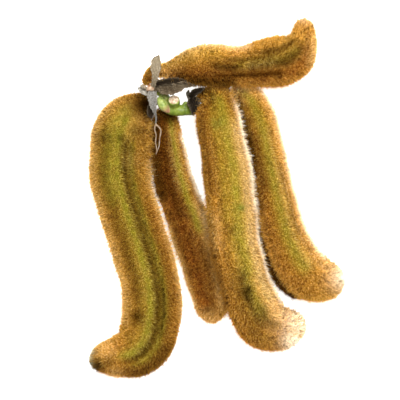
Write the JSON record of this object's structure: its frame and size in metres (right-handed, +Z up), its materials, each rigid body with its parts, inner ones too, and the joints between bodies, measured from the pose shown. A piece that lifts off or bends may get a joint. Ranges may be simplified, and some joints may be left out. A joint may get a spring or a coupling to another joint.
{
  "type": "velvet bean pod cluster",
  "caption": "Picked cluster of furry golden-brown velvet bean pods joined by a short green stalk with dry calyx lobes, lying on a surface.",
  "frame": {"origin": "middle of the cluster's box in x and y, on the surface that it lies on", "axes": "+Z up from the surface; +Y along the cluster from the hanging pods' tips to the stalk and the top pod; +X to the right as seen from above"},
  "size_m": [0.0887, 0.1234, 0.0234],
  "materials": {
    "nap": "dense velvety nap of short golden-brown hairs over an olive pod wall",
    "stalk": "fresh green stalk, satin, with pale spots and a whitish cut end",
    "calyx": "dry grey-brown veined tissue, matte",
    "calyx_dark": "dry blackish-brown tissue, matte"
  },
  "bodies": {
    "root": {"pod_left": "nap", "pod_mid_left": "nap", "pod_centre": "nap", "pod_right": "nap", "pod_behind": "nap", "pod_top": "nap", "rachis": "stalk", "calyx_top": "calyx", "calyx_left": "calyx", "calyx_mid_left": "calyx", "calyx_right": "calyx", "calyx_centre": "calyx_dark", "calyx_behind": "calyx_dark"}
  },
  "joints": []
}
